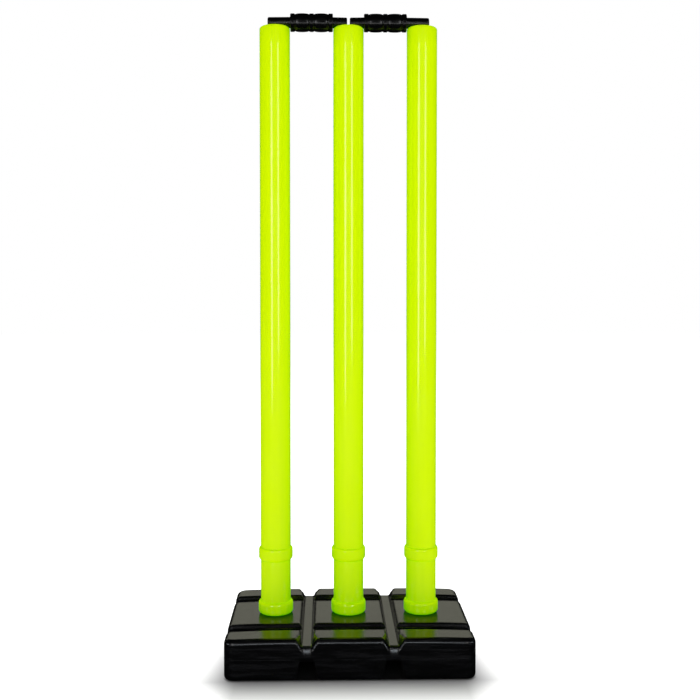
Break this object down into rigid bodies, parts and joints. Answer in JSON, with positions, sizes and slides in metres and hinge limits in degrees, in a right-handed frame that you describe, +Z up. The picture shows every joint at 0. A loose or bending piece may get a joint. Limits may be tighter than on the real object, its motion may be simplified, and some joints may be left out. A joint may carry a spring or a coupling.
{
  "type": "free-standing cricket wicket",
  "caption": "Free-standing cricket wicket: hollow neon stumps on collars in a heavy black moulded base, bridged by turned black bails.",
  "frame": {"origin": "centre of the base's footprint, on the surface that the wicket stands on", "axes": "+Z up along the stumps, X along the bails, -Y towards the bowler; the filler cap faces +Y"},
  "size_m": [0.288, 0.197, 0.7755],
  "materials": {
    "neon_plastic": "smooth moulded plastic, fluorescent yellow-green, semi-gloss",
    "black_base_plastic": "blow-moulded plastic, black, satin with a faint grain",
    "black_bail_plastic": "moulded plastic, black, satin gloss",
    "seal_rubber": "soft black rubber, matt",
    "damp_sand": "packed sand, matt and grainy"
  },
  "bodies": {
    "base": {"base_shell": "black_base_plastic", "sand_ballast": "damp_sand", "holder_left": "neon_plastic", "holder_middle": "neon_plastic", "holder_right": "neon_plastic"},
    "cap": {"filler_cap": "black_base_plastic", "cap_seal": "seal_rubber"},
    "stump_left": {"stump_left": "neon_plastic"},
    "stump_middle": {"stump_middle": "neon_plastic"},
    "stump_right": {"stump_right": "neon_plastic"},
    "bail_left": {"bail_left": "black_bail_plastic"},
    "bail_right": {"bail_right": "black_bail_plastic"}
  },
  "joints": [
    {"name": "stump_middle_lift", "type": "slide", "parent": "base", "child": "stump_middle", "axis": [0, 0, 1], "range_m": [0, 0.08]},
    {"name": "stump_left_lift", "type": "slide", "parent": "base", "child": "stump_left", "axis": [0, 0, 1], "range_m": [0, 0.08]},
    {"name": "stump_right_lift", "type": "slide", "parent": "base", "child": "stump_right", "axis": [0, 0, 1], "range_m": [0, 0.08]},
    {"name": "bail_left_lift", "type": "slide", "parent": "stump_middle", "child": "bail_left", "axis": [0, 0, 1], "range_m": [0, 0.05]},
    {"name": "bail_right_lift", "type": "slide", "parent": "stump_middle", "child": "bail_right", "axis": [0, 0, 1], "range_m": [0, 0.05]},
    {"name": "cap_pull", "type": "slide", "parent": "base", "child": "cap", "axis": [0, 1, 0], "range_m": [0, 0.03]}
  ],
  "couplings": [
    {"joint": "stump_left_lift", "follows": "stump_middle_lift", "ratio": 1},
    {"joint": "stump_right_lift", "follows": "stump_middle_lift", "ratio": 1}
  ]
}
